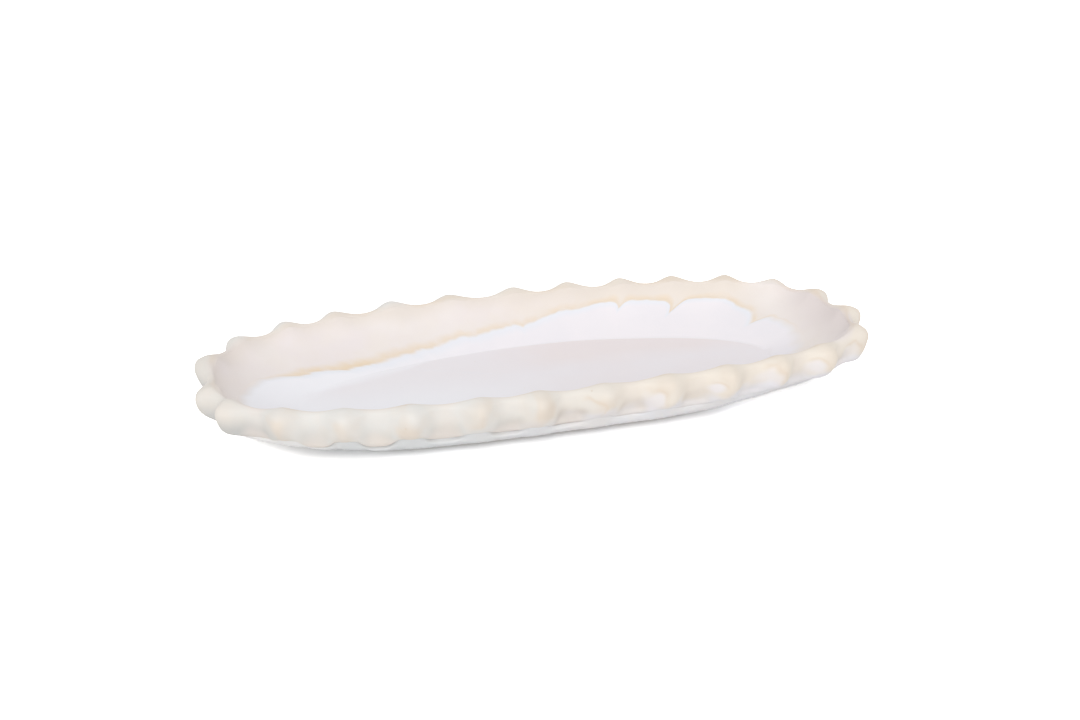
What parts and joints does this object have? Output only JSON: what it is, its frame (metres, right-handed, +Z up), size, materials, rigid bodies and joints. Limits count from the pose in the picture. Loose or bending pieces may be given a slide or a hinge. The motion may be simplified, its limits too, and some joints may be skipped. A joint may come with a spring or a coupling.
{
  "type": "asparagus plate",
  "caption": "Long oval stoneware serving dish with a shallow flared well, a thick finger-crimped rim of rounded ridges and scoops, a bare foot ring and a two-tone glaze.",
  "frame": {"origin": "on the table, under the centre of the dish's bounding box", "axes": "+X along the dish's length, +Y across it, +Z up out of the well"},
  "size_m": [0.3988, 0.1758, 0.0348],
  "materials": {
    "cream_glaze": "satin",
    "rim_glaze": "satin",
    "white_glaze": "gloss",
    "bare_clay": "matte"
  },
  "bodies": {
    "root": {"dish_body": "cream_glaze", "crimped_rim": "rim_glaze", "white_glaze": "white_glaze", "foot_ring": "bare_clay"}
  },
  "joints": []
}
